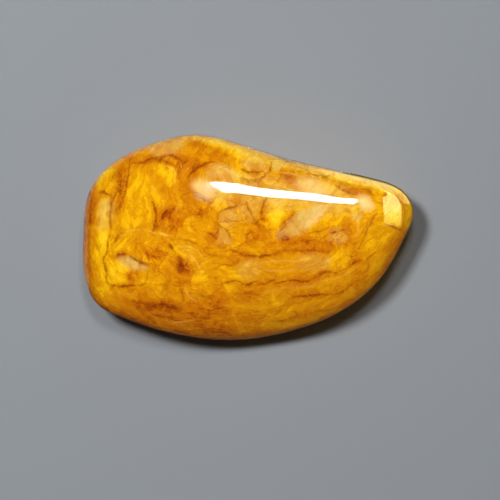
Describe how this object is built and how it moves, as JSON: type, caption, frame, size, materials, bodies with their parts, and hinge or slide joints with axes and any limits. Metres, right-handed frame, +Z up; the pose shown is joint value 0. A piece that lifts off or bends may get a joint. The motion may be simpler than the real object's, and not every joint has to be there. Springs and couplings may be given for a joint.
{
  "type": "polished jasper stone",
  "caption": "Polished freeform jasper stone with a low domed top, rounded shoulders, a blunt tip and a flat base, patterned in ochre, gold and brown",
  "frame": {"origin": "on the flat base, under the middle of the stone's box", "axes": "+X to the tip, +Y to the nearly straight long side, +Z up through the dome"},
  "size_m": [0.0289, 0.0179, 0.0074],
  "materials": {
    "jasper": "polished"
  },
  "bodies": {
    "root": {"jasper_stone": "jasper"}
  },
  "joints": []
}
